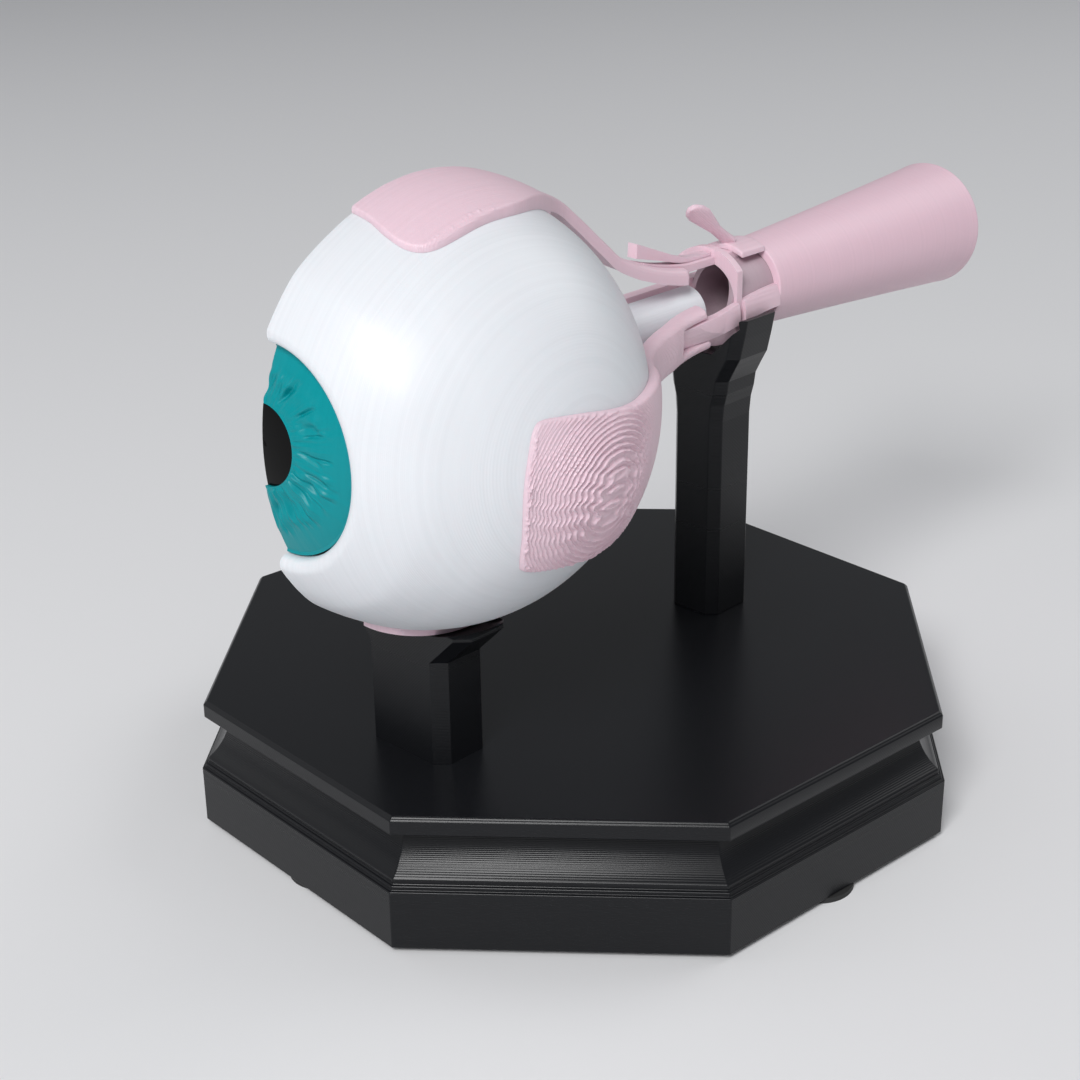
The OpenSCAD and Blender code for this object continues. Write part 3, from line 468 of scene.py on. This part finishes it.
# ---- Rear cone and sheath: a long printed trumpet, open in front and closed at its square rear end.
# Its rims are slightly rounded; the sheath stands out of its mouth and takes the ring and the tongues, and its
# greyish darker pink is painted shade from inside the mouth.
cone_pink = printed("cone_print", (0.80, 0.565, 0.65), 0.42, (0, 1, 0), 0.00026, 0.000005, sub=0.15)
flare = np.array([(8.7 + (13.0 - 8.7) * t ** 1.12, 41.0 + 63.8 * t) for t in np.linspace(0, 1, 60)])
rim_r = 0.6
rear_rim = np.array([(13.0 - rim_r + rim_r * math.cos(t), 104.8 - rim_r + rim_r * math.sin(t))
                     for t in np.linspace(0, math.pi / 2, 7)])
hollow = flare - np.array((1.6, 0.0))
hollow = hollow[hollow[:, 1] < 104.8 - 1.6]
front_rim = np.array([(8.7 - 0.25 + 0.25 * math.cos(t), 41.0 + 0.25 - 0.25 * math.sin(t))
                      for t in np.linspace(math.pi / 2, 0, 5)])
profile = np.vstack([front_rim, flare[(flare[:, 1] > 41.3) & (flare[:, 1] < 104.8 - rim_r)], rear_rim,
                     [[0.0, 104.8]], [[0.0, 103.2]], [[hollow[-1, 0], 103.2]], hollow[::-1]])
steps, m = 160, len(profile)
verts = np.vstack([np.stack([profile[:, 0] * math.cos(a), profile[:, 1], profile[:, 0] * math.sin(a)], 1)
                   for a in np.linspace(0, 2 * math.pi, steps, endpoint=False)]) + np.array((8.1, 0, 92.1))
on_axis = profile[:, 0] == 0
faces = []
for k in range(steps):
    here, there = k * m, (k + 1) % steps * m
    for j in range(m):
        nxt = (j + 1) % m
        if on_axis[j] and on_axis[nxt]:
            continue
        if on_axis[nxt]:
            faces.append([here + j, nxt, there + j])
        elif on_axis[j]:
            faces.append([j, here + nxt, there + nxt])
        else:
            faces.append([here + j, here + nxt, there + nxt, there + j])
used = sorted({i for f in faces for i in f})
index = {v: i for i, v in enumerate(used)}
solid("cone_trumpet", verts[used], [[index[i] for i in f] for f in faces], cone_pink, "cone_unit",
      ["muscle_cone"], 55)
# The sheath's darker, greyish pink is painted shade: a darkened copy of the cone's pink standing for the shade inside
# the cone's open mouth.
dress("nerve_sheath", printed("sheath_painted_shade", (0.5, 0.38, 0.43), 0.45, (0, 1, 0), 0.00026, 0.000008, sub=0.15))

# ---- Iris and pupil: half a teal printed disc with a black plug, set into the shell's opening.
# Its front is worked into folds, rings and small pits that calm down to the rim.
teal = printed("teal_print", (0.0, 0.255, 0.285), 0.36, (1, 0, 0), 0.00025, 0.000003, shine=0.22)


def sin_d(x):
    return np.sin(np.radians(x))


def folds(w, a):
    """Relief of the iris at w, from 0 at the pupil to 1 at the rim, and the angle a in degrees."""
    q = w + 0.05 * sin_d(5 * a + 40) + 0.03 * sin_d(11 * a + 70)
    calm = 1 - 0.93 * ease(0.56, 0.76, q)
    edge = ease(0, 0.07, w) * ease(1, 0.95, w)
    radial = 0.3 * sin_d(33 * a + 50 * sin_d(4 * a) + 120 * w) + 0.16 * sin_d(58 * a + 60 * sin_d(3 * a) - 200 * w)
    patch = 0.22 + 0.78 * ease(-0.25, 0.8, sin_d(5 * a + 60) * sin_d(3 * a - 40) + 0.45 * sin_d(9 * a + 300 * w))
    fine = 0.03 * sin_d(131 * a + 90 * sin_d(7 * a) + 260 * w)
    grooves = 0.5 * np.maximum(0, sin_d(17 * a + 90 * sin_d(2.3 * a) + 35 * w)) ** 9
    grooves = grooves * ease(0.2, 0.35, w) * ease(0.7, 0.52, w)
    rings = 0.26 * sin_d(900 * q + 40 * sin_d(8 * a))
    pit = np.maximum(0, sin_d(12 * a + 60 * sin_d(5 * a) + 200 * w)) ** 3 * ease(0.14, 0.3, q) * ease(0.62, 0.45, q)
    return edge * (calm * (patch * (0.75 * radial + fine + 0.9 * rings) - 0.55 * pit) - grooves
                   - 0.1 - 0.25 * ease(0.5, 0.75, q))


na, nw = 420, 96
w, a = np.meshgrid(np.linspace(0, 1, nw + 1), np.linspace(-90, 90, na + 1))
hole = 6.75 + 0.02
right = ((1 - w) * hole + w * 17.4) * np.cos(np.radians(a))
up = (1 - w) * (1.75 + hole * np.sin(np.radians(a))) + w * 17.4 * np.sin(np.radians(a))
flat2 = right ** 2 + up ** 2
front = lip_s + 1.27 - 40.0 + np.sqrt(40.0 ** 2 - flat2) + folds(w, a)
rear = lip_s + 1.27 - 40.0 + np.sqrt(37.4 ** 2 - flat2)
verts = np.vstack([out_of_eye(right.ravel(), up.ravel(), h.ravel()) for h in (front, rear)])
row, count = nw + 1, (na + 1) * (nw + 1)
faces = []
for i in range(na):
    for j in range(nw):
        k = i * row + j
        faces += [(k, k + 1, k + row + 1, k + row), (k + count, k + row + count, k + row + 1 + count, k + 1 + count)]
rim = [i * row + j for i, j in [(0, j) for j in range(nw)] + [(i, nw) for i in range(na)]
       + [(na, j) for j in range(nw, 0, -1)] + [(i, 0) for i in range(na, 0, -1)]]
faces += [(p, q, q + count, p + count) for p, q in zip(rim, rim[1:] + rim[:1])]
solid("iris_relief", verts, faces, teal, "iris_unit", ["iris"], 60)
dress("pupil", printed("pupil_gloss", (0.001, 0.001, 0.001), 0.10, (1, 0, 0), 0.00025, 0.0000003, shine=0.12))
dress("choroid", printed("choroid_print", (0.35, 0.06, 0.05), 0.45, (1, 0, 0), 0.00025, 0.000006))
dress("ciliary_body", printed("ciliary_print", (0.4, 0.1, 0.08), 0.45, (1, 0, 0), 0.00025, 0.000006))
dress("retina", printed("retina_print", (0.8, 0.42, 0.22), 0.45, (1, 0, 0), 0.00025, 0.000006))

# ---- Lens and filling: clear resin cast in half moulds and polished on the cut.
# They are seen only from the open side, the lens lying in a cup of the filling.
for n, name, colour, rough in (("lens", "lens_resin", (0.95, 0.94, 0.84), 0.08),
                               ("vitreous_body", "vitreous_resin", (0.86, 0.93, 0.97), 0.12)):
    resin = printed(name, colour, rough, (1, 0, 0), 0.00025, 0.0000005, mottle=0.01)
    resin.node_tree.nodes["Principled BSDF"].inputs["Transmission Weight"].default_value = 0.85
    resin.node_tree.nodes["Principled BSDF"].inputs["IOR"].default_value = 1.45
    dress(n, resin)
